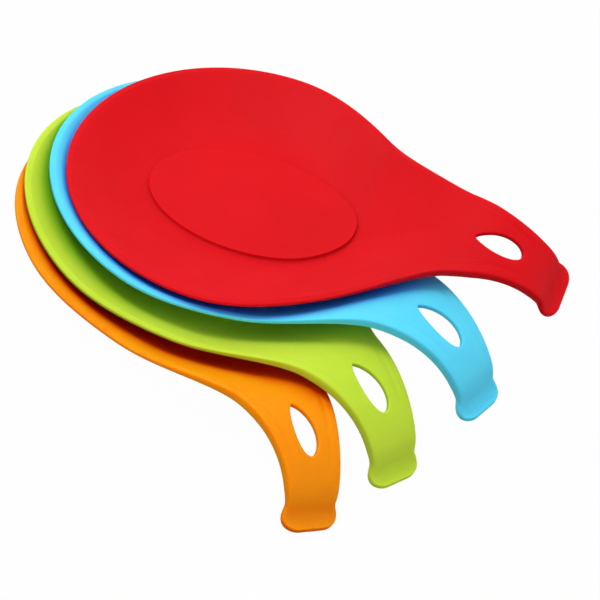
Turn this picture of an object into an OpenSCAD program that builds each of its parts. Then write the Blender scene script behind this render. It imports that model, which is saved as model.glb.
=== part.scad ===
// Set of four silicone spoon rests, nested in a fanned stack.
// Each rest is one moulding: a shallow bowl with a lip and a raised oval pad, and an
// arched handle with a hanging slot and a turned-out foot.
// In a rest's own frame the origin is on the table under the middle of its bowl,
// +X runs along the handle and +Z is up. A place along the rest is its length s
// from the bowl's middle, measured over the handle's curve.

/* [Bowl] */
// Half the width of the bowl, across the handle
bowl_half = 63; // [57:0.5:70]
// Length from the bowl's middle to its back
bowl_back = 67.2; // [60:0.2:76]
// Height of the rim above the table
rim_height = 12.2; // [11.2:0.2:14.2]
// Thickness of the floor, the wall and the handle
wall = 2.2; // [1.8:0.1:2.8]
// Width of the flat lip round the bowl
lip_width = 2.3; // [2:0.1:3.6]
// Thickness of the lip at its outer edge
lip_edge = 1.6; // [1.2:0.1:2]
// Run of the sloping wall, from the lip to the floor
wall_run = 32.2; // [28:0.2:34]

/* [Oval pad] */
// Length of the raised oval pad, along the handle
pad_length = 80.5; // [68:0.5:90]
// Width of the raised oval pad
pad_width = 52; // [40:0.1:58]
// Height of the pad above the floor
pad_height = 1.5; // [0.8:0.1:2.2]
// Distance of the pad's middle in front of the bowl's middle
pad_forward = 3.9; // [0:0.1:7]

/* [Neck and handle] */
// Length from the bowl's middle to the crest of the handle
crest_at = 92.8; // [88:0.1:95]
// Height of the crest above the rim
crest_rise = 13.7; // [12.2:0.1:15]
// Length from the bowl's middle at which the neck starts to rise
rise_from = 41.9; // [37:0.1:48]
// Length over which the bowl's sides draw in to the handle
taper_length = 83.4; // [79:0.2:90]
// Half the width that the handle would have at the bowl's middle
root_half = 34.9; // [31:0.1:39]
// Half the width of the handle just above its foot
foot_half = 10.2; // [9.4:0.1:11.6]
// Radius of the handle's arch
arch_radius = 35.2; // [33.5:0.1:39]
// Depth of the rolled edge of the handle
skirt = 4.2; // [3.6:0.1:4.8]
// Width over which the edge rolls down
edge_roll = 3; // [2:0.1:4]

/* [Foot] */
// Radius of the turned-out toe
toe_radius = 6; // [5.4:0.1:7.2]
// Thickness of the toe's edge
toe_edge = 2.4; // [2:0.1:3]
// Extra half-width of the flared foot
foot_flare = 1.4; // [0.8:0.1:1.8]
// Length of the foot's rounded corners, along the foot
foot_corner = 4.4; // [3:0.1:5]
// Width of the foot's rounded corners
foot_corner_width = 6.6; // [4:0.2:8.6]

/* [Hanging slot] */
// Length from the bowl's middle to the middle of the slot
slot_at = 100; // [97:0.1:101]
// Length of the slot
slot_length = 22; // [21:0.1:27]
// Width of the slot
slot_width = 8.9; // [7.6:0.1:10]

/* [Stack] */
// Gap between nested rests where they bear on each other
seat_gap = 0.35; // [0.2:0.05:0.5]
// Angle by which the top rest's handle is bent open, in degrees
top_open = 7.5; // [0:0.5:12]
// Angle by which the top rest's handle is twisted, in degrees
top_twist = 10.5; // [0:0.5:12]

/* [Hidden] */

// Place of each upper rest on the one below: sideways shift, turn about Z,
// pitch about Y and roll about X, for green, blue and red in turn
shift_x = [-7.5, -0.1, 5.7];
shift_y = [8.4, 13.4, 5.9];
turn_angles = [14.4, 11.8, 19.3];
pitch_angles = [-0.6, -4.3, -5.4];
roll_angles = [5.8, 2.6, 3.1];
bottom_turn = -43.9;

// Pitch of the handle at the end of the arch, of the leg and of the toe
arch_pitch = 47.4;
leg_pitch = 78.5;
toe_pitch = 4;

// Shares of the bowl and handle that shape the neck
taper_power_share = 1.79;
floor_fade_from_share = 0.26;
slot_power_share = 1.35;
wall_ring_share = 1.2;

// Steps of the outline and of the rings inside it
back_steps = 14;
bowl_steps = 14;
arch_steps = 6;
leg_steps = 4;
toe_steps = 3;
corner_steps = 4;
inner_rings = 6;
pad_steps = 72;
slot_steps = 36;

degree = 180 / PI;
crest_height = rim_height + crest_rise;
arch_drop = arch_radius * (1 - cos(arch_pitch));
toe_drop = toe_radius * (cos(toe_pitch) - cos(leg_pitch));
leg_drop = crest_height - toe_edge * cos(toe_pitch) - arch_drop - toe_drop;
leg_radius = leg_drop / (cos(arch_pitch) - cos(leg_pitch));
leg_at = crest_at + arch_radius * arch_pitch / degree;
toe_at = leg_at + leg_radius * (leg_pitch - arch_pitch) / degree;
foot_end = toe_at + toe_radius * (leg_pitch - toe_pitch) / degree;
corner_at = foot_end - foot_corner;
flare_from = toe_at - toe_radius / 6;
flare_run = corner_at - flare_from;
skirt_from = taper_length / 2;
slot_reach = slot_width;

function ease(t) = let (u = min(max(t, 0), 1)) u * u * (3 - 2 * u);

// Plan place, height and downward pitch of the handle's top at length s, for a handle
// that is bent open by an angle
function rise(s) = ease((s - rise_from) / (crest_at - rise_from));
function spine(s, open) =
    s <= crest_at
    ? [s, rim_height + crest_rise * rise(s), 0]
    : s <= leg_at
    ? let (a = (arch_pitch - open) * (s - crest_at) / (leg_at - crest_at))
        [crest_at + arch_radius * sin(a), crest_height - arch_radius * (1 - cos(a)), a]
    : s <= toe_at
    ? let (p = spine(leg_at, open), a = p[2] + (leg_pitch - arch_pitch) * (s - leg_at) / (toe_at - leg_at))
        [p[0] + leg_radius * (sin(a) - sin(p[2])), p[1] - leg_radius * (cos(p[2]) - cos(a)), a]
    : let (p = spine(toe_at, open), a = p[2] + (toe_pitch - p[2]) * (s - toe_at) / (foot_end - toe_at))
        [p[0] + toe_radius * (sin(p[2]) - sin(a)), p[1] - toe_radius * (cos(a) - cos(p[2])), a];

// Point over the spine at length s, sideways y and height n above the handle's top.
// A flex is a handle's angles of opening and twist.
unflexed = [0, 0];
top_flex = [top_open, top_twist];
function on_spine(s, y, n, flex) =
    let (p = spine(s, flex[0]), z = p[1] + n * cos(p[2]) - rim_height, t = flex[1] * rise(s))
        [p[0] + n * sin(p[2]), y * cos(t) - z * sin(t), rim_height + y * sin(t) + z * cos(t)];

// Half the width of the rest at length s
function half_width(s) =
    s < 0
    ? bowl_half * sqrt(max(1 - pow(s / bowl_back, 2), 0))
    : foot_half + (root_half - foot_half) * pow(cos(90 * min(s / foot_end, 1)), 2)
        + (bowl_half - root_half) * pow(max(1 - pow(s / taper_length, 2), 0), taper_power_share)
        + foot_flare * ease((s - flare_from) / flare_run);

// Distance inward from the outline
function inward(s, y) =
    s < 0
    ? let (rho = norm([s / bowl_back, y / bowl_half]), r = norm([s, y]))
        rho == 0 ? bowl_half : (1 - rho) * r / rho
    : let (d = edge_roll / 10, slope = (half_width(s + d) - half_width(max(s - d, 0))) / (s + d - max(s - d, 0)))
        (half_width(s) - abs(y)) / norm([1, slope]);

// Depth of the inside below the lip and the handle's top. The wall leaves the lip at a
// crease and runs out smoothly into the floor.
function dish(t) = let (u = min(max(t, 0), 1)) u * (3 - u * u) / 2;
function sink(s, y) =
    (rim_height - wall)
        * (1 - ease((s / crest_at - floor_fade_from_share) / (1 - floor_fade_from_share)))
        * dish((inward(s, y) - lip_width) / wall_run);

// Depth of the outer edge at length s
function edge_depth(s) =
    let (rolled = lip_edge + (skirt - lip_edge) * ease((s - skirt_from) / (crest_at - skirt_from)))
        rolled + (toe_edge - rolled) * ease((s - leg_at) / (corner_at - leg_at));

// Thickness of the moulding at a place
function thickness(s, y) = wall + (edge_depth(s) - wall) * (1 - ease(inward(s, y) / edge_roll));

// Outline of one side, from the back of the bowl to the tip of the foot
outline = concat(
    [for (i = [0 : back_steps - 1]) let (a = 90 * i / back_steps) [-bowl_back * cos(a), bowl_half * sin(a)]],
    [for (i = [0 : bowl_steps - 1]) let (s = crest_at * i / bowl_steps) [s, half_width(s)]],
    [for (i = [0 : arch_steps - 1])
        let (s = crest_at + (leg_at - crest_at) * i / arch_steps) [s, half_width(s)]],
    [for (i = [0 : leg_steps - 1]) let (s = leg_at + (toe_at - leg_at) * i / leg_steps) [s, half_width(s)]],
    [for (i = [0 : toe_steps - 1])
        let (s = toe_at + (corner_at - toe_at) * i / toe_steps) [s, half_width(s)]],
    [for (i = [0 : corner_steps - 1])
        let (a = 90 * i / corner_steps)
            [corner_at + foot_corner * sin(a), half_width(foot_end) - foot_corner_width * (1 - cos(a))]],
    [[foot_end, 0]]);

half_count = len(outline) - 1;
loop_count = 2 * half_count;
first_rings = [0, lip_width / 2, lip_width, max(edge_roll, lip_width) + edge_roll / 4];
ring_count = len(first_rings) + inner_rings - 1;

// Point i of the whole outline, and the place on the middle line that its rings close on.
// The whole back closes on the bowl's middle, and the foot's end on one place in the foot.
function outline_point(i) = i <= half_count ? outline[i] : let (p = outline[loop_count - i]) [p[0], -p[1]];
foot_middle = foot_end - foot_half;
foot_index = back_steps + len([for (p = outline) if (p[0] > 0 && p[0] < foot_middle) p]) + 1;
function middle_place(s) = min(max(s, 0), foot_middle);
function middle_index(k) = min(max(k, back_steps), foot_index) - back_steps;

// Place of ring j at outline point i
function ring_point(i, j) =
    let (p = outline_point(i), q = [middle_place(p[0]), 0], l = norm(p - q), last = len(first_rings) - 1,
         d = j <= last
            ? first_rings[j]
            : first_rings[last] + (l - first_rings[last]) * pow((j - last) / inner_rings, wall_ring_share))
        p + (q - p) * d / l;

function top_point(p, flex) = on_spine(p[0], p[1], -sink(p[0], p[1]), flex);
function under_point(p, flex) = on_spine(p[0], p[1], -sink(p[0], p[1]) - thickness(p[0], p[1]), flex);

ring_places = concat(
    [for (j = [0 : ring_count - 1]) for (i = [0 : loop_count - 1]) ring_point(i, j)],
    [for (i = [back_steps : foot_index]) [middle_place(outline[i][0]), 0]]);
side_count = len(ring_places);
function vertex(i, j) =
    let (k = i % loop_count)
        j < ring_count ? j * loop_count + k : ring_count * loop_count + middle_index(min(k, loop_count - k));

// One moulding without its pad and slot
module shell(flex) {
    under_points = [for (p = ring_places) under_point(p, flex)];
    top_points = [for (p = ring_places) top_point(p, flex)];
    top_faces = [for (j = [0 : ring_count - 1]) for (i = [0 : loop_count - 1])
        let (a = vertex(i, j), b = vertex(i + 1, j), c = vertex(i + 1, j + 1), d = vertex(i, j + 1))
            each c == d ? [[a, b, c]] : [[a, b, c], [a, c, d]]];
    under_faces = [for (f = top_faces) [f[2] + side_count, f[1] + side_count, f[0] + side_count]];
    edge_faces = [for (i = [0 : loop_count - 1])
        let (a = vertex(i, 0), b = vertex(i + 1, 0))
            each [[b, a, a + side_count], [b, a + side_count, b + side_count]]];
    polyhedron(
        points = concat(top_points, under_points),
        faces = concat(top_faces, under_faces, edge_faces));
}

// Raised oval on the bowl's floor
module oval_pad() {
    translate([pad_forward, 0, wall / 2])
        linear_extrude(height = wall / 2 + pad_height)
            polygon([for (i = [0 : pad_steps - 1])
                let (a = 360 * i / pad_steps) [pad_length / 2 * cos(a), pad_width / 2 * sin(a)]]);
}

// Half-width of the hanging slot at an angle round it, as a share of its greatest.
// The slot is round at the foot's side and draws to a point at the bowl's side.
function slot_form(a) = sin(a / 2) * sign(cos(a / 2)) * pow(abs(cos(a / 2)), slot_power_share);
function slot_half_share(a) = slot_form(a) / slot_form(2 * atan(1 / sqrt(slot_power_share)));

// Prism that cuts the hanging slot square to the handle
module slot_cut(flex) {
    place = spine(slot_at, flex[0]);
    translate(on_spine(slot_at, 0, 0, flex))
        rotate([flex[1], 0, 0]) rotate([0, place[2], 0])
            translate([0, 0, -slot_reach])
                linear_extrude(height = 2 * slot_reach)
                    polygon([for (i = [0 : slot_steps - 1])
                        let (a = 360 * i / slot_steps)
                            [slot_length / 2 * cos(a), slot_width / 2 * slot_half_share(a)]]);
}

module spoon_rest(flex) {
    difference() {
        union() {
            shell(flex);
            oval_pad();
        }
        slot_cut(flex);
    }
}

// Height of the top and of the underside over a plan place, as far as the crest
function covers(x, y) = x > -bowl_back && x < crest_at && abs(y) < half_width(x);
function top_height(x, y) =
    let (rho = norm([(x - pad_forward) / pad_length, y / pad_width]) * 2)
        top_point([x, y], unflexed)[2] + (rho <= 1 ? pad_height : 0);
function under_height(x, y) = under_point([x, y], unflexed)[2];

// Turns a point or turns it back, for upper rest k on the rest below it
function turn_matrix(k) =
    let (cy = cos(turn_angles[k]), sy = sin(turn_angles[k]), cp = cos(pitch_angles[k]),
         sp = sin(pitch_angles[k]), cr = cos(roll_angles[k]), sr = sin(roll_angles[k]))
        [[cy * cp, cy * sp * sr - sy * cr, cy * sp * cr + sy * sr],
         [sy * cp, sy * sp * sr + cy * cr, sy * sp * cr - cy * sr],
         [-sp, cp * sr, cp * cr]];
function turned(k, p) = turn_matrix(k) * p;
function turned_back(k, p) = p * turn_matrix(k);

// Lift that leaves the seat gap between upper rest k and the rest below it.
// The first pass lowers the underside's points on the lower rest, and the second
// holds the lower rest's rim against the underside.
shell_places = [for (p = ring_places) if (p[0] < crest_at) p];
function first_lift(k) =
    let (m = turn_matrix(k),
         needs = [for (p = shell_places)
            let (w = m * under_point(p, unflexed) + [shift_x[k], shift_y[k], 0])
                if (covers(w[0], w[1])) top_height(w[0], w[1]) - w[2]])
        seat_gap + max(needs);
function lift(k) =
    let (up = first_lift(k),
         needs = [for (p = shell_places)
            let (w = turned_back(k, top_point(p, unflexed) - [shift_x[k], shift_y[k], up]))
                if (covers(w[0], w[1])) w[2] - under_height(w[0], w[1])])
        up + max(seat_gap + max(needs), 0);
lifts = [for (k = [0 : len(shift_x) - 1]) lift(k)];

// Places a rest at level k of the stack, on the levels below it
module stacked(k) {
    if (k == 0)
        rotate([0, 0, bottom_turn])
            children();
    else
        stacked(k - 1)
            translate([shift_x[k - 1], shift_y[k - 1], lifts[k - 1]])
                rotate([roll_angles[k - 1], pitch_angles[k - 1], turn_angles[k - 1]])
                    children();
}

module orange_rest() { color([1, 0.55, 0.05]) stacked(0) spoon_rest(unflexed); }
module green_rest() { color([0.68, 0.83, 0.18]) stacked(1) spoon_rest(unflexed); }
module blue_rest() { color([0.36, 0.8, 0.94]) stacked(2) spoon_rest(unflexed); }
module red_rest() { color([0.89, 0.06, 0.1]) stacked(3) spoon_rest(top_flex); }

orange_rest();
green_rest();
blue_rest();
red_rest();
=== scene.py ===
"""Looks for a fanned, nested stack of four silicone spoon rests.

Each rest is made flat first, as the outline of the moulding with its slot and its raised
oval, and is then bent into the dished bowl and the arched handle. Lengths are in
millimetres until the last step, which places the moulding in the stack in metres.
In a rest's own frame +X runs along the handle and +Z is up; s is the length along the
handle from the bowl's middle, y the distance sideways and n the height over the surface.
"""
import math

import bmesh
import bpy
from mathutils import Euler, Matrix, Vector


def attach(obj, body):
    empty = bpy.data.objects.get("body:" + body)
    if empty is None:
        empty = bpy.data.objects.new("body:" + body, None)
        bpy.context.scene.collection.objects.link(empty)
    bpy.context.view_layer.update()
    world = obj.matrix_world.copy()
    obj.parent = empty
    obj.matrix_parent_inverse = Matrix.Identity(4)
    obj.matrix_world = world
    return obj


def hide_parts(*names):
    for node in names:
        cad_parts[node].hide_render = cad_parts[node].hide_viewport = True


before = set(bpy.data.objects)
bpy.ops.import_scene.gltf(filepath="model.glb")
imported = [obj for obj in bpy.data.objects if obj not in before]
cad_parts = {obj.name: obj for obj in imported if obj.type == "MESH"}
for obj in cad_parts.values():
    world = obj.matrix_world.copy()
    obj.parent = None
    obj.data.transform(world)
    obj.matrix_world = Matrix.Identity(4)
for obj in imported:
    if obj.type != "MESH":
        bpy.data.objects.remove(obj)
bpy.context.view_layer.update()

MM = 0.001

# Bowl: half its width, its length behind its middle and the rim's height; the wall's
# thickness, the lip's width, the depth of its edge and the run of the wall inside it
BOWL_HALF, BOWL_BACK, RIM = 63.0, 67.2, 12.2
WALL, LIP_WIDTH, LIP_EDGE, WALL_RUN = 2.2, 2.3, 1.6, 32.2
# Raised oval, and how far it sits towards the handle
PAD_LENGTH, PAD_WIDTH, PAD_HEIGHT, PAD_FORWARD = 80.5, 52.0, 1.5, 3.9
# Neck and handle: place and height of the crest, and where the neck starts to rise
CREST_AT, CREST_RISE, RISE_FROM = 92.8, 13.7, 41.9
# The bowl's taper towards the handle, and half the handle's width at its root and foot
TAPER_LENGTH, TAPER_POWER, ROOT_HALF, FOOT_HALF = 83.4, 1.79, 34.9, 10.2
# The arch's radius, the depth of the handle's edge, the width over which it thins inward, and
# the share of the way to the crest at which the floor starts to rise
ARCH_RADIUS, SKIRT, EDGE_ROLL, FLOOR_FADE = 35.2, 4.2, 3.0, 0.26
# Downward pitch at the ends of the arch, the leg and the toe
ARCH_PITCH, LEG_PITCH, TOE_PITCH = map(math.radians, (47.4, 78.5, 4.0))
# Foot: radius of its fold, depth of its edge, how far it flares, and its rounded corners
TOE_RADIUS, TOE_EDGE, FOOT_FLARE = 6.0, 2.4, 1.4
FOOT_CORNER, FOOT_CORNER_WIDTH = 4.4, 6.6
# Hanging slot, and how sharply it is pointed
SLOT_AT, SLOT_LENGTH, SLOT_WIDTH, SLOT_POWER = 100.0, 22.0, 8.9, 1.35

# The leg drops from the arch so far that the toe's underside comes down to the table
CREST = RIM + CREST_RISE
LEG_DROP = (CREST - TOE_EDGE * math.cos(TOE_PITCH) - ARCH_RADIUS * (1 - math.cos(ARCH_PITCH))
            - TOE_RADIUS * (math.cos(TOE_PITCH) - math.cos(LEG_PITCH)))
LEG_RADIUS = LEG_DROP / (math.cos(ARCH_PITCH) - math.cos(LEG_PITCH))
LEG_AT = CREST_AT + ARCH_RADIUS * ARCH_PITCH
TOE_AT = LEG_AT + LEG_RADIUS * (LEG_PITCH - ARCH_PITCH)
FOOT_END = TOE_AT + TOE_RADIUS * (LEG_PITCH - TOE_PITCH)
CORNER_AT, FLARE_FROM = FOOT_END - FOOT_CORNER, TOE_AT - TOE_RADIUS / 6

# Finish of the edges: their rounding, the width and depth of the soft shoulder inside the
# lip's edge and inside the handle's, and the groove that runs along the handle's shoulder
EDGE_ROUND, SLOT_ROUND, PAD_ROUND = 0.5, 0.6, 0.4
LIP_SHOULDER, HANDLE_SHOULDER = (1.4, 0.2), (1.8, 0.35)
GROOVE_IN, GROOVE_WIDTH, GROOVE_DEPTH = 4.4, 0.8, 0.34
# Steps inward of the mesh's rings, which follow the lip and its crease
LIP_RINGS = (0.45, 0.45, 0.4, 0.3, 0.3, 0.4)
# Fineness of the mesh in the bowl and on the handle
CELL, FINE_CELL = 1.5, 0.85
# Points of the moulding's outline, and of the outlines of the slot and the oval
OUTLINE_POINTS, RING_POINTS = 460, 120
# Steps in which the outline is first drawn: round the bowl's back, along the side and round
# the foot's corner
BACK_STEPS, SIDE_STEPS, CORNER_STEPS = 200, 400, 30
# Half the step over which the outline's slope is taken
SLOPE_STEP = 0.3
# Angle in radians between two faces above which their edge is sharp
SHARP = 1.0
# How near the slot's outline and the oval's top an edge lies that is rounded with them
SLOT_REACH, TOP_REACH = 0.3, 0.01
# Distances within which points are merged, before the rounding and after the cuts, and within
# which a cut passes through a point
MERGE_BEFORE, MERGE_AFTER, CUT_SNAP = 0.002, 0.05, 0.001


def ease(t):
    """Goes from 0 to 1 with a soft start and end."""
    u = min(max(t, 0.0), 1.0)
    return u * u * (3 - 2 * u)


def rise(s):
    """Share of the neck's rise at length s."""
    return ease((s - RISE_FROM) / (CREST_AT - RISE_FROM))


def spine(s, opened):
    """Plan place, height and downward pitch of the handle's top, bent open by an angle."""
    if s <= CREST_AT:
        return s, RIM + CREST_RISE * rise(s), 0.0
    if s <= LEG_AT:
        a = (ARCH_PITCH - opened) * (s - CREST_AT) / (LEG_AT - CREST_AT)
        return CREST_AT + ARCH_RADIUS * math.sin(a), CREST - ARCH_RADIUS * (1 - math.cos(a)), a
    if s <= TOE_AT:
        x, z, start = spine(LEG_AT, opened)
        a = start + (LEG_PITCH - ARCH_PITCH) * (s - LEG_AT) / (TOE_AT - LEG_AT)
        along, down = math.sin(a) - math.sin(start), math.cos(start) - math.cos(a)
        return x + LEG_RADIUS * along, z - LEG_RADIUS * down, a
    x, z, start = spine(TOE_AT, opened)
    a = start + (TOE_PITCH - start) * (s - TOE_AT) / (FOOT_END - TOE_AT)
    along, down = math.sin(start) - math.sin(a), math.cos(a) - math.cos(start)
    return x + TOE_RADIUS * along, z - TOE_RADIUS * down, a


def half_width(s):
    """Half the moulding's width at length s, without the foot's rounded corners."""
    if s < 0:
        return BOWL_HALF * math.sqrt(max(1 - (s / BOWL_BACK) ** 2, 0))
    narrowing = math.cos(math.pi / 2 * min(s / FOOT_END, 1)) ** 2
    handle = FOOT_HALF + (ROOT_HALF - FOOT_HALF) * narrowing
    bowl = (BOWL_HALF - ROOT_HALF) * max(1 - (s / TAPER_LENGTH) ** 2, 0) ** TAPER_POWER
    return handle + bowl + FOOT_FLARE * ease((s - FLARE_FROM) / (CORNER_AT - FLARE_FROM))


def inward(s, y):
    """Distance inward from the outline."""
    if s < 0:
        rho, r = math.hypot(s / BOWL_BACK, y / BOWL_HALF), math.hypot(s, y)
        return (1 - rho) * r / rho if rho > 1e-6 else BOWL_HALF
    low, high = max(s - SLOPE_STEP, 0), s + SLOPE_STEP
    slope = (half_width(high) - half_width(low)) / (high - low)
    return (half_width(s) - abs(y)) / math.hypot(1, slope)


def dish(t):
    """Goes from 0 to 1 steeply at first, as the bowl's wall does, with a soft end."""
    u = min(max(t, 0.0), 1.0)
    return u * (3 - u * u) / 2


def sink(s, y):
    """Depth of the inside below the lip and the handle's top, from a crease at the lip."""
    fade = 1 - ease((s / CREST_AT - FLOOR_FADE) / (1 - FLOOR_FADE))
    return (RIM - WALL) * fade * dish((inward(s, y) - LIP_WIDTH) / WALL_RUN)


def edge_depth(s):
    """Depth of the edge: thin round the bowl, a skirt on the handle, and thin at the toe."""
    skirt_from = TAPER_LENGTH / 2
    rolled = LIP_EDGE + (SKIRT - LIP_EDGE) * ease((s - skirt_from) / (CREST_AT - skirt_from))
    return rolled + (TOE_EDGE - rolled) * ease((s - LEG_AT) / (CORNER_AT - LEG_AT))


def thickness(s, y):
    """Thickness of the moulding, from its edge inward to the wall's own."""
    return WALL + (edge_depth(s) - WALL) * (1 - ease(inward(s, y) / EDGE_ROLL))


def relief(s, y):
    """Depth of the soft shoulder and of the handle's groove below the moulding's top."""
    d = inward(s, y)
    handle = rise(s)
    width, depth = (a + (b - a) * handle for a, b in zip(LIP_SHOULDER, HANDLE_SHOULDER))
    shoulder = depth * max(1 - d / width, 0) ** 2
    groove = GROOVE_DEPTH * math.exp(-((d - GROOVE_IN) / GROOVE_WIDTH) ** 2)
    return shoulder + groove * handle ** 3 * (1 - ease((s - SLOT_AT) / SLOT_LENGTH))


def bend(point, opened, twisted):
    """Carries a point of the flat moulding to its place on the bowl and the arched handle."""
    s, y, flat = point
    x, z, pitch = spine(s, opened)
    below = max(-flat / WALL, 0)
    n = max(flat, 0) - sink(s, y) - below * thickness(s, y) - (1 - below) * relief(s, y)
    t = twisted * rise(s)
    z = z + n * math.cos(pitch) - RIM
    return Vector((x + n * math.sin(pitch), y * math.cos(t) - z * math.sin(t),
                   RIM + y * math.sin(t) + z * math.cos(t)))


def slot_half(a):
    """Half-width of the slot at an angle round it. It draws to a point towards the bowl."""
    def form(h):
        return math.sin(h) * math.copysign(abs(math.cos(h)) ** SLOT_POWER, math.cos(h))
    return SLOT_WIDTH / 2 * form(a / 2) / form(math.atan(1 / math.sqrt(SLOT_POWER)))


# Flat moulding

def outline(count):
    """Points of the outline, evenly spaced round it, from the bowl's back."""
    side = []
    for i in range(BACK_STEPS):
        a = math.pi / 2 * i / BACK_STEPS
        side.append((-BOWL_BACK * math.cos(a), BOWL_HALF * math.sin(a)))
    for i in range(SIDE_STEPS):
        s = CORNER_AT * i / SIDE_STEPS
        side.append((s, half_width(s)))
    for i in range(CORNER_STEPS):
        a = math.pi / 2 * i / CORNER_STEPS
        side.append((CORNER_AT + FOOT_CORNER * math.sin(a),
                     half_width(FOOT_END) - FOOT_CORNER_WIDTH * (1 - math.cos(a))))
    side.append((FOOT_END, 0.0))
    loop = side + [(s, -y) for s, y in side[-2:0:-1]]
    lengths = [0.0]
    for a, b in zip(loop, loop[1:] + loop[:1]):
        lengths.append(lengths[-1] + math.dist(a, b))
    places, k = [], 0
    for i in range(count):
        want = lengths[-1] * i / count
        while lengths[k + 1] < want:
            k += 1
        a, b = loop[k], loop[(k + 1) % len(loop)]
        t = (want - lengths[k]) / (lengths[k + 1] - lengths[k])
        places.append((a[0] + (b[0] - a[0]) * t, a[1] + (b[1] - a[1]) * t))
    return places


def plate(places, low, high):
    """A flat plate between two heights, from a disc drawn out to an outline."""
    bm = bmesh.new()
    ring = bmesh.ops.create_circle(bm, cap_ends=True, segments=len(places), radius=1.0)["verts"]
    for v, (x, y) in zip(ring, places):
        v.co = (x, y, low)
    raised = bmesh.ops.extrude_face_region(bm, geom=bm.faces[:])["geom"]
    top = [g for g in raised if isinstance(g, bmesh.types.BMVert)]
    bmesh.ops.translate(bm, vec=(0, 0, high - low), verts=top)
    bmesh.ops.recalc_face_normals(bm, faces=bm.faces[:])
    return bm


def as_object(bm, name):
    """Puts a mesh into the scene under a name."""
    mesh = bpy.data.meshes.new(name)
    bm.to_mesh(mesh)
    bm.free()
    obj = bpy.data.objects.new(name, mesh)
    bpy.context.scene.collection.objects.link(obj)
    return obj


def round_rim(bm, size, steps, chosen):
    """Rounds the sharp edges that a test picks out."""
    edges = [e for e in bm.edges
             if e.calc_face_angle(0) > SHARP and all(chosen(v.co) for v in e.verts)]
    bmesh.ops.bevel(bm, geom=edges, offset=size, segments=steps, profile=0.5,
                    affect="EDGES", material=-1)


def in_order(bm):
    """The same mesh built anew, with its points and faces in the order of their places.

    Some operators leave them in an order that changes from run to run, and the rounding, the
    cuts and the merging depend on it.
    """
    points = sorted(bm.verts, key=lambda v: v.co[:])
    number = {v: i for i, v in enumerate(points)}
    rings = []
    for f in bm.faces:
        ring = [number[v] for v in f.verts]
        first = ring.index(min(ring))
        rings.append(ring[first:] + ring[:first])
    ordered = bmesh.new()
    placed = [ordered.verts.new(v.co) for v in points]
    for ring in sorted(rings):
        ordered.faces.new([placed[i] for i in ring])
    bm.free()
    return ordered


def cut_places(low, high, fine_low, fine_high):
    """Places of the cuts across the moulding, closer together over the handle."""
    places, at = [], low + CELL
    while at < high - FINE_CELL:
        places.append(at)
        at += FINE_CELL if fine_low < at < fine_high else CELL
    return places


def flat_moulding():
    """The moulding before it is bent, cut into cells small enough to bend smoothly."""
    body = plate(outline(OUTLINE_POINTS), -WALL, 0.0)
    round_rim(body, EDGE_ROUND, 4, lambda c: True)
    for inset in LIP_RINGS:
        wide = [f for f in body.faces if len(f.verts) > 4]
        bmesh.ops.inset_region(body, faces=wide, thickness=inset, use_even_offset=True)
    body = as_object(body, "flat_moulding")

    turn = [2 * math.pi * i / RING_POINTS for i in range(RING_POINTS)]
    pointed = [(SLOT_AT + SLOT_LENGTH / 2 * math.cos(a), slot_half(a)) for a in turn]
    slot = as_object(plate(pointed, -2 * WALL, 2 * WALL), "slot_tool")
    oval = [(PAD_FORWARD + PAD_LENGTH / 2 * math.cos(a), PAD_WIDTH / 2 * math.sin(a))
            for a in turn]
    pad = as_object(plate(oval, -WALL / 2, PAD_HEIGHT), "pad_tool")
    for tool, how in ((slot, "DIFFERENCE"), (pad, "UNION")):
        cut = body.modifiers.new(how.lower(), "BOOLEAN")
        cut.object, cut.operation, cut.solver = tool, how, "EXACT"
    bm = bmesh.new()
    bm.from_object(body, bpy.context.evaluated_depsgraph_get())
    for used in (body, slot, pad):
        bpy.data.objects.remove(used)

    def by_slot(c):
        return (abs(c.x - SLOT_AT) < SLOT_LENGTH / 2 + SLOT_REACH
                and abs(c.y) < SLOT_WIDTH / 2 + SLOT_REACH)

    bm = in_order(bm)
    bmesh.ops.remove_doubles(bm, verts=bm.verts[:], dist=MERGE_BEFORE)
    round_rim(bm, SLOT_ROUND, 3, by_slot)
    round_rim(bm, PAD_ROUND, 3, lambda c: c.z > PAD_HEIGHT - TOP_REACH)

    bm = in_order(bm)
    for axis, places in ((0, cut_places(-BOWL_BACK, FOOT_END, RISE_FROM, FOOT_END)),
                         (1, cut_places(-BOWL_HALF, BOWL_HALF, -ROOT_HALF, ROOT_HALF))):
        for place in places:
            at, normal = Vector((0, 0, 0)), Vector((0, 0, 0))
            at[axis], normal[axis] = place, 1
            everything = bm.verts[:] + bm.edges[:] + bm.faces[:]
            bmesh.ops.bisect_plane(bm, geom=everything, dist=CUT_SNAP, plane_co=at,
                                   plane_no=normal)
    bmesh.ops.remove_doubles(bm, verts=bm.verts[:], dist=MERGE_AFTER)
    bmesh.ops.triangulate(bm, faces=[f for f in bm.faces if len(f.verts) > 4])
    return bm


# Place of each rest on the one below: its shift in millimetres, and in degrees its turn
# about Z, pitch about Y and roll about X
STACK = {
    "orange_rest": ((0, 0, 0), (-43.9, 0, 0)),
    "green_rest": ((-7.5, 8.4, 7.353), (14.4, -0.6, 5.8)),
    "blue_rest": ((-0.1, 13.4, 7.635), (11.8, -4.3, 2.6)),
    "red_rest": ((5.7, 5.9, 7.704), (19.3, -5.4, 3.1)),
}
# How far the top rest's soft handle is bent open and twisted
TOP_OPENED, TOP_TWISTED = math.radians(7.5), math.radians(10.5)


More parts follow.
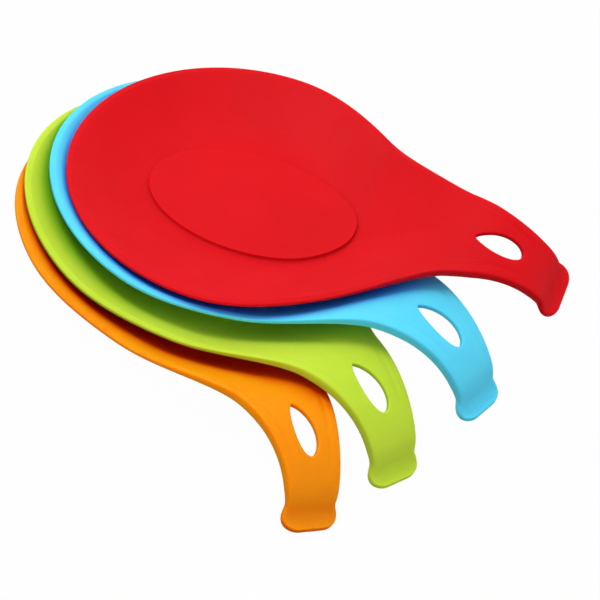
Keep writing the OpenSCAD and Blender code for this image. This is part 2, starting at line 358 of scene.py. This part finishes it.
def make_rests():
    """Bends the flat moulding four times, each in its place in the stack."""
    flat = flat_moulding()
    place, rests = Matrix.Identity(4), {}
    for node, (shift, (turn, pitch, roll)) in STACK.items():
        angles = Euler([math.radians(a) for a in (roll, pitch, turn)], "XYZ")
        place = place @ Matrix.Translation(shift) @ angles.to_matrix().to_4x4()
        opened, twisted = (TOP_OPENED, TOP_TWISTED) if node == "red_rest" else (0.0, 0.0)
        bm = flat.copy()
        for v in bm.verts:
            v.co = place @ bend(v.co, opened, twisted) * MM
        for f in bm.faces:
            f.smooth = True
        rest = as_object(bm, node.replace("rest", "spoon_rest"))
        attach(rest, node.replace("rest", "body"))
        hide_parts(node)
        rests[node] = rest
    flat.free()
    return rests


# Materials

# Silicone rubber: how it bends light, its gloss and the share of light that enters it
SILICONE_IOR, SILICONE_GLOSS, SILICONE_ENTRY = 1.41, 0.12, 0.8
# Least reach of any colour inside it, as a share of the depth
LEAST_REACH = 0.05
# Sockets of a Mix node that mixes colours
FACTOR, FIRST, SECOND, MIXED = 0, 6, 7, 2


def linear(code):
    """Linear colour from an sRGB hex code."""
    parts = [int(code[i:i + 2], 16) / 255 for i in (1, 3, 5)]
    plain = [c / 12.92 if c <= 0.04045 else ((c + 0.055) / 1.055) ** 2.4 for c in parts]
    return (*plain, 1.0)


def add(tree, kind, links=(), **settings):
    """Adds a node, sets its properties and sockets, and links the sockets named in links."""
    node = tree.nodes.new(kind)
    for name, value in settings.items():
        if hasattr(node, name):
            setattr(node, name, value)
        else:
            node.inputs[name.replace("_", " ")].default_value = value
    for source, target in links:
        tree.links.new(source, node.inputs[target])
    return node


def silicone(name, colour, tint, painted_shade, depth, shade_reach):
    """Silicone rubber, moulded and left with the mould's fine matt texture.

    It gives broad, soft highlights. Light enters it a little way and comes back tinted.
    Creases and the gaps between the rests are painted in a deeper, fuller colour than the open
    faces, as painted shade wherever an occlusion mask finds faces standing close.
    """
    material = bpy.data.materials.new(name)
    material.use_nodes = True
    tree = material.node_tree
    shader = tree.nodes["Principled BSDF"]
    shader.inputs["IOR"].default_value = SILICONE_IOR
    shader.inputs["Specular IOR Level"].default_value = SILICONE_GLOSS
    shader.inputs["Subsurface Weight"].default_value = SILICONE_ENTRY
    shader.inputs["Subsurface Scale"].default_value = depth * MM
    reach_by_colour = [max(c, LEAST_REACH) for c in linear(colour)[:3]]
    shader.inputs["Subsurface Radius"].default_value = reach_by_colour

    where = add(tree, "ShaderNodeTexCoord").outputs["Object"]
    # Clouding of the pigment, about 35 mm across
    cloud = add(tree, "ShaderNodeTexNoise", [(where, "Vector")],
                Scale=1 / 0.035, Detail=3.0, Roughness=0.55)
    spread = add(tree, "ShaderNodeMapRange", [(cloud.outputs["Fac"], "Value")],
                 From_Min=0.3, From_Max=0.6)
    tone = add(tree, "ShaderNodeMix", [(spread.outputs["Result"], FACTOR)], data_type="RGBA")
    tone.inputs[FIRST].default_value = linear(tint)
    tone.inputs[SECOND].default_value = linear(colour)
    # Painted shade: a deeper colour mixed in by an occlusion mask where the faces of the rests
    # stand close, in creases and the gaps between the rests
    shade_occlusion = add(tree, "ShaderNodeAmbientOcclusion", Distance=shade_reach * MM, samples=12)
    unshaded_share = add(tree, "ShaderNodeMapRange", [(shade_occlusion.outputs["AO"], "Value")],
                     From_Min=0.1, From_Max=0.9)
    shaded_colour = add(tree, "ShaderNodeMix",
               [(unshaded_share.outputs["Result"], FACTOR), (tone.outputs[MIXED], SECOND)],
               data_type="RGBA")
    # The painted shade colour, used where the occlusion mask finds close faces
    shaded_colour.inputs[FIRST].default_value = linear(painted_shade)
    tree.links.new(shaded_colour.outputs[MIXED], shader.inputs["Base Color"])
    # Handling marks in the gloss, about 12 mm across
    marks = add(tree, "ShaderNodeTexNoise", [(where, "Vector")], Scale=1 / 0.012, Detail=4.0)
    gloss = add(tree, "ShaderNodeMapRange", [(marks.outputs["Fac"], "Value")],
                From_Min=0.3, From_Max=0.7, To_Min=0.5, To_Max=0.58)
    tree.links.new(gloss.outputs["Result"], shader.inputs["Roughness"])
    # Spark-eroded mould texture, drawn 0.5 mm apart so that it shows
    grain = add(tree, "ShaderNodeTexNoise", [(where, "Vector")], Scale=1 / 0.0005, Detail=2.0)
    bumps = add(tree, "ShaderNodeBump", [(grain.outputs["Fac"], "Height")],
                Strength=0.05, Distance=0.0001)
    tree.links.new(bumps.outputs["Normal"], shader.inputs["Normal"])
    return material


# The material's name, the colour of the open faces, the darker tone of the clouding, the
# painted shade colour of close gaps, and in millimetres how deep light enters and how wide a
# gap gets the painted shade
SILICONES = {
    "orange_rest": ("silicone_rubber_orange", "#FF8E00", "#FA8600", "#FF1A00", 7.0, 22.0),
    "green_rest": ("silicone_rubber_lime", "#BAD43A", "#B1CD30", "#3CB400", 2.0, 9.0),
    "blue_rest": ("silicone_rubber_sky", "#5CCFEC", "#54C8E6", "#1850FF", 2.0, 9.0),
    "red_rest": ("silicone_rubber_red", "#CE0612", "#C70510", "#A8000C", 3.0, 9.0),
}


# Floor, light and camera

# Half the floor's side and its drop below the rests in metres, and the share of plain white
# in what the camera sees of it
FLOOR_HALF, FLOOR_DROP, FLOOR_WHITE = 6.0, 0.0001, 0.985
# Level of the room's light on the rests
ROOM_LEVEL = 0.9
# The photograph's camera: the point of the table that it looks at and its distance in
# millimetres, its elevation and roll in degrees, its focal length in the frame's pixels, and
# the widths of the frame in pixels and of the sensor in millimetres
CAMERA_AIM, CAMERA_DISTANCE = (48.49, 25.73, 0), 1447.13
CAMERA_ELEVATION, CAMERA_ROLL = 37.85, 29.29
FOCAL_PIXELS, FRAME_PIXELS, SENSOR_WIDTH = 3825.94, 600, 36.0


def make_floor():
    """Matt studio paper. It gives little light back to the undersides and the legs, and the
    camera sees it nearly white, with a trace of the shadow.
    """
    bm = bmesh.new()
    bmesh.ops.create_grid(bm, x_segments=1, y_segments=1, size=FLOOR_HALF)
    bmesh.ops.translate(bm, vec=(0, 0, -FLOOR_DROP), verts=bm.verts[:])
    floor = as_object(bm, "studio_floor")
    material = bpy.data.materials.new("matt_studio_paper")
    material.use_nodes = True
    tree = material.node_tree
    paper = tree.nodes["Principled BSDF"]
    paper.inputs["Base Color"].default_value = linear("#A0A0A0")
    paper.inputs["Roughness"].default_value = 0.95
    paper.inputs["Specular IOR Level"].default_value = 0.1
    ray = add(tree, "ShaderNodeLightPath").outputs
    seen = ray["Is Camera Ray"]
    for kind in ("Is Glossy Ray", "Is Transmission Ray"):
        either = add(tree, "ShaderNodeMath", [(seen, 0), (ray[kind], 1)], operation="MAXIMUM")
        seen = either.outputs[0]
    share = add(tree, "ShaderNodeMath", [(seen, 0)], operation="MULTIPLY")
    share.inputs[1].default_value = FLOOR_WHITE
    white = add(tree, "ShaderNodeEmission", Strength=1.0)
    lifted = add(tree, "ShaderNodeMixShader",
                 [(share.outputs[0], 0), (paper.outputs[0], 1), (white.outputs[0], 2)])
    tree.links.new(lifted.outputs[0], tree.nodes["Material Output"].inputs["Surface"])
    floor.data.materials.append(material)


def make_world():
    """A dim, even room. The camera sees it white behind the floor."""
    world = bpy.data.worlds.new("studio")
    world.use_nodes = True
    bpy.context.scene.world = world
    tree = world.node_tree
    tree.nodes.clear()
    ray = add(tree, "ShaderNodeLightPath").outputs
    seen = add(tree, "ShaderNodeMath",
               [(ray["Is Camera Ray"], 0), (ray["Is Transmission Ray"], 1)],
               operation="MAXIMUM")
    room = add(tree, "ShaderNodeBackground", Color=(1, 1, 1, 1), Strength=ROOM_LEVEL)
    white = add(tree, "ShaderNodeBackground", Color=(1, 1, 1, 1), Strength=1.0)
    mix = add(tree, "ShaderNodeMixShader",
              [(seen.outputs[0], 0), (room.outputs[0], 1), (white.outputs[0], 2)])
    add(tree, "ShaderNodeOutputWorld", [(mix.outputs[0], "Surface")])


def softbox(name, place, aim, size, watts):
    """A round soft lamp, turned to the point that it is aimed at."""
    lamp = bpy.data.lights.new(name, "AREA")
    lamp.shape, lamp.size, lamp.energy = "DISK", size, watts
    obj = bpy.data.objects.new(name, lamp)
    bpy.context.scene.collection.objects.link(obj)
    obj.location = place
    obj.rotation_euler = (Vector(aim) - Vector(place)).to_track_quat("-Z", "Y").to_euler()


def make_camera():
    """The photograph's camera, whose place, aim and roll come from the rests' outlines."""
    aim, distance = Vector(CAMERA_AIM) * MM, CAMERA_DISTANCE * MM
    elevation, roll = math.radians(CAMERA_ELEVATION), math.radians(CAMERA_ROLL)
    back = Vector((0, -math.cos(elevation), math.sin(elevation)))
    level, upright = Vector((1, 0, 0)), Vector((0, math.sin(elevation), math.cos(elevation)))
    right = math.cos(roll) * level + math.sin(roll) * upright
    up = math.cos(roll) * upright - math.sin(roll) * level
    lens = bpy.data.cameras.new("photo_camera")
    lens.sensor_width, lens.lens = SENSOR_WIDTH, FOCAL_PIXELS * SENSOR_WIDTH / FRAME_PIXELS
    lens.clip_start, lens.clip_end = 0.05, 50
    camera = bpy.data.objects.new("photo_camera", lens)
    bpy.context.scene.collection.objects.link(camera)
    turned = Matrix((right, up, back)).transposed().to_4x4()
    camera.matrix_world = Matrix.Translation(aim + back * distance) @ turned
    bpy.context.scene.camera = camera


rests = make_rests()
for node, rest in rests.items():
    rest.data.materials.append(silicone(*SILICONES[node]))
make_floor()
make_world()
softbox("high_left", place=(-0.6, -0.1, 1.0), aim=(0.03, 0.0, 0.03), size=0.6, watts=6.5)
make_camera()
bpy.context.scene.view_settings.view_transform = "Standard"
